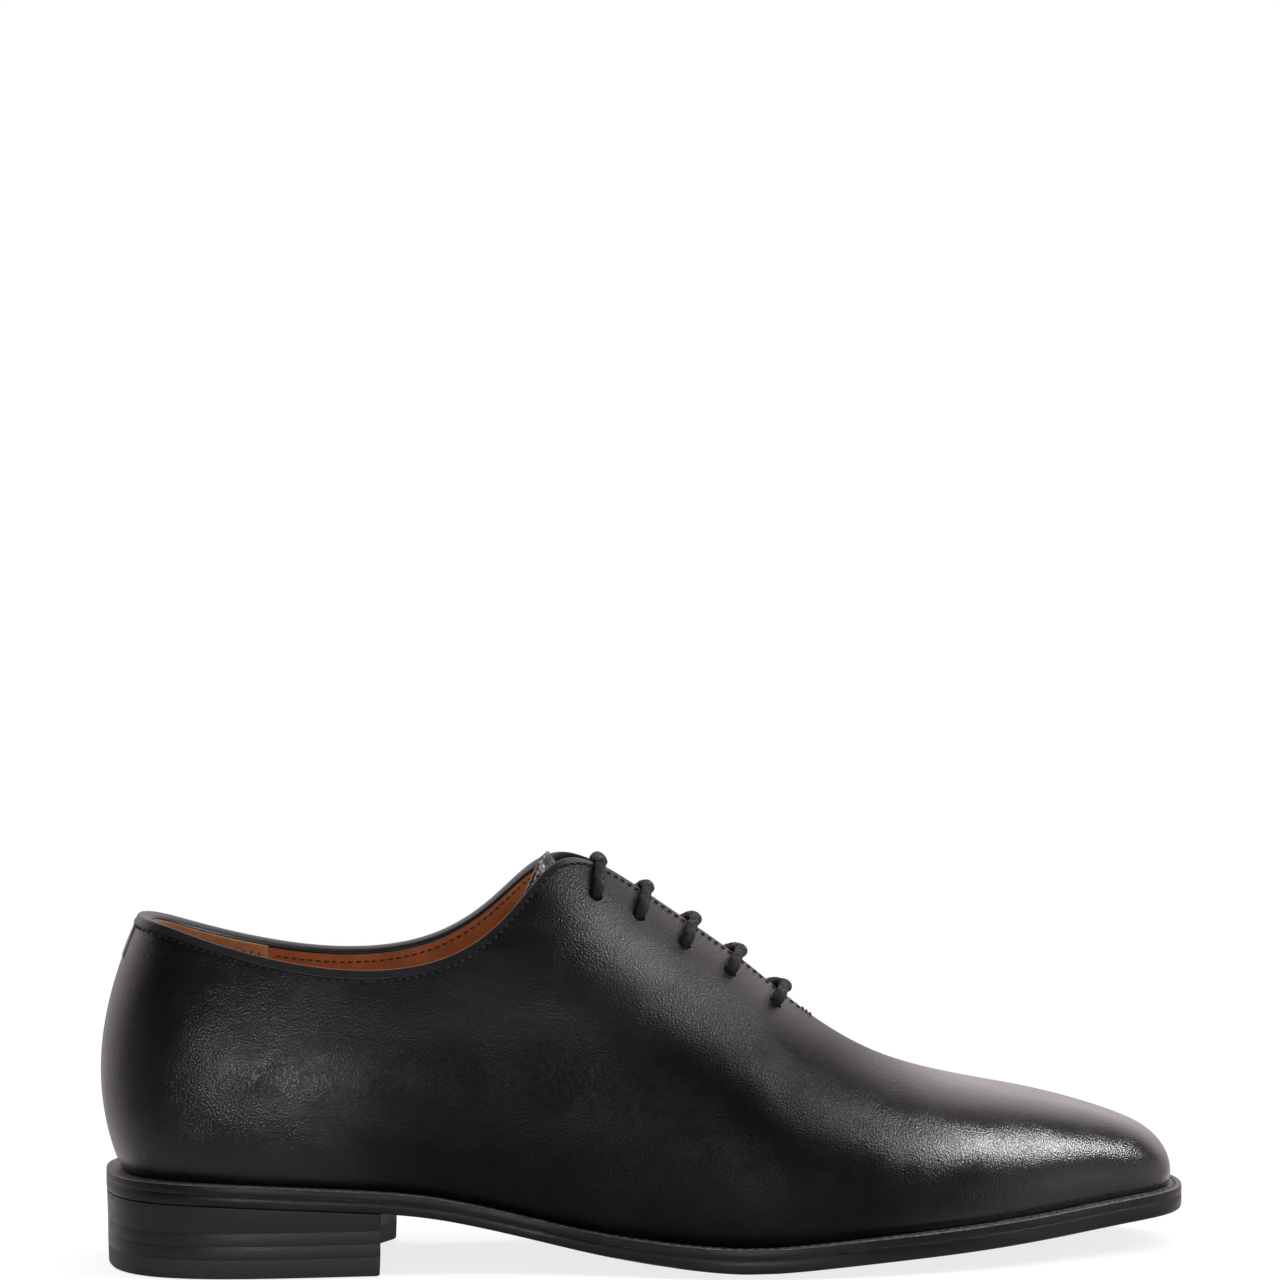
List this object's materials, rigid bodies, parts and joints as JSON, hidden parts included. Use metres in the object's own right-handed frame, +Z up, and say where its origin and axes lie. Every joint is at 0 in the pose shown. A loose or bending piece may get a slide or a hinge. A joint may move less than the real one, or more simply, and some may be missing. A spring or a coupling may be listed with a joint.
{
  "type": "leather oxford shoe",
  "caption": "Right-foot black leather oxford shoe with a one-piece laced upper, welted leather sole and stacked heel; it bends at the ball and its tongue swings.",
  "frame": {"origin": "middle of the heel's ground face, on the ground", "axes": "+X along the sole to the toe, +Y to the inner (medial) side, +Z up"},
  "size_m": [0.3087, 0.1025, 0.1145],
  "materials": {
    "black_calf": "polished",
    "black_binding": "satin",
    "tongue_calf": "pebbled",
    "stiffener": "matte",
    "tan_lining": "smooth matte",
    "suede_lining": "suede",
    "vamp_lining": "matte",
    "insole_leather": "matte",
    "rib_canvas": "woven",
    "cork": "granular",
    "spring_steel": "rolled",
    "welt_leather": "waxed",
    "sole_leather": "waxed black edge",
    "heel_stack": "waxed stacked edge",
    "heel_rubber": "matte",
    "waxed_lace": "waxed twist",
    "aglet_plastic": "smooth",
    "eyelet_metal": "blackened",
    "nail_brass": "drawn"
  },
  "bodies": {
    "heel_part": {"upper_back": "black_calf", "heel_tab": "black_calf", "topline_binding": "black_binding", "heel_counter": "stiffener", "facing_stays": "stiffener", "blind_eyelets": "eyelet_metal", "quarter_lining": "tan_lining", "heel_lining": "suede_lining", "lace": "waxed_lace", "aglets": "aglet_plastic", "insole_back": "insole_leather", "sock_lining": "tan_lining", "insole_rib_back": "rib_canvas", "cork_filler_back": "cork", "shank": "spring_steel", "welt_back": "welt_leather", "outsole_back": "sole_leather", "heel_base": "heel_stack", "heel_lifts": "heel_stack", "top_lift": "heel_rubber", "heel_nails": "nail_brass", "top_lift_pins": "nail_brass"},
    "toe_part": {"upper_toe": "black_calf", "toe_puff": "stiffener", "vamp_lining": "vamp_lining", "insole_toe": "insole_leather", "insole_rib_toe": "rib_canvas", "cork_filler_toe": "cork", "welt_toe": "welt_leather", "outsole_toe": "sole_leather"},
    "tongue": {"tongue_leather": "tongue_calf", "tongue_lining": "tan_lining"}
  },
  "joints": [
    {"name": "ball_flex", "type": "hinge", "parent": "heel_part", "child": "toe_part", "pos_m": [0.158, 0, 0.0044], "axis": [0, -1, 0], "range_deg": [0, 25], "stiffness_Nm_per_rad": 1.5},
    {"name": "tongue_swing", "type": "hinge", "parent": "heel_part", "child": "tongue", "pos_m": [0.157, 0, 0.06], "axis": [0, 1, 0], "range_deg": [-15, 0], "stiffness_Nm_per_rad": 0.05}
  ]
}
